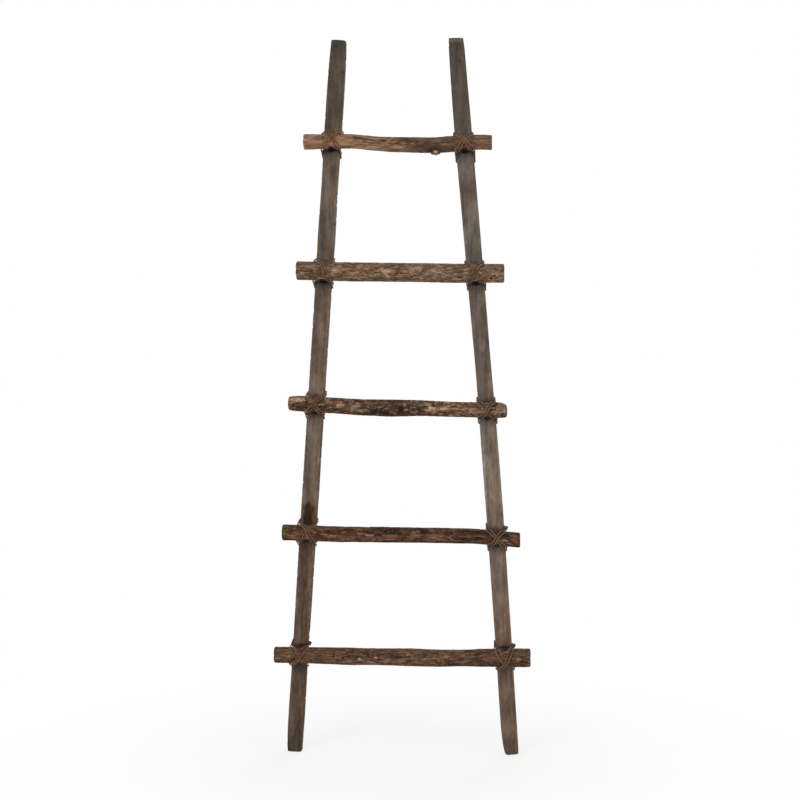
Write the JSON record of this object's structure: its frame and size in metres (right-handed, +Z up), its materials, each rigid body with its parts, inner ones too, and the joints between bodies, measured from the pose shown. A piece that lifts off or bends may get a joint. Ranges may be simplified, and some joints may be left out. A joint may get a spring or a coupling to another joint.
{
  "type": "towel ladder",
  "caption": "Rustic leaning towel ladder: two sawn rails that draw together upwards, with bark-covered log rungs lashed across their fronts with thin cord.",
  "frame": {"origin": "bottom centre of the bounding box: on the floor, midway between the feet, at the middle of the ladder's depth", "axes": "+Z up along the ladder, +X to the right seen from the front, +Y towards the wall behind; the rungs are on the -Y side"},
  "size_m": [0.5438, 0.0743, 1.524],
  "materials": {
    "sawn_rail": "rough-sawn softwood, weathered grey-brown, matt",
    "log_rung": "bark-covered log, worn through in patches, matt",
    "lashing_cord": "thin twisted brown cord",
    "screw_steel": "zinc-plated countersunk screws"
  },
  "bodies": {
    "root": {"left_rail": "sawn_rail", "right_rail": "sawn_rail", "rung_1": "log_rung", "rung_2": "log_rung", "rung_3": "log_rung", "rung_4": "log_rung", "rung_5": "log_rung", "lashing_1_left": "lashing_cord", "lashing_1_right": "lashing_cord", "lashing_2_left": "lashing_cord", "lashing_2_right": "lashing_cord", "lashing_3_left": "lashing_cord", "lashing_3_right": "lashing_cord", "lashing_4_left": "lashing_cord", "lashing_4_right": "lashing_cord", "lashing_5_left": "lashing_cord", "lashing_5_right": "lashing_cord", "rung_screws": "screw_steel"}
  },
  "joints": []
}
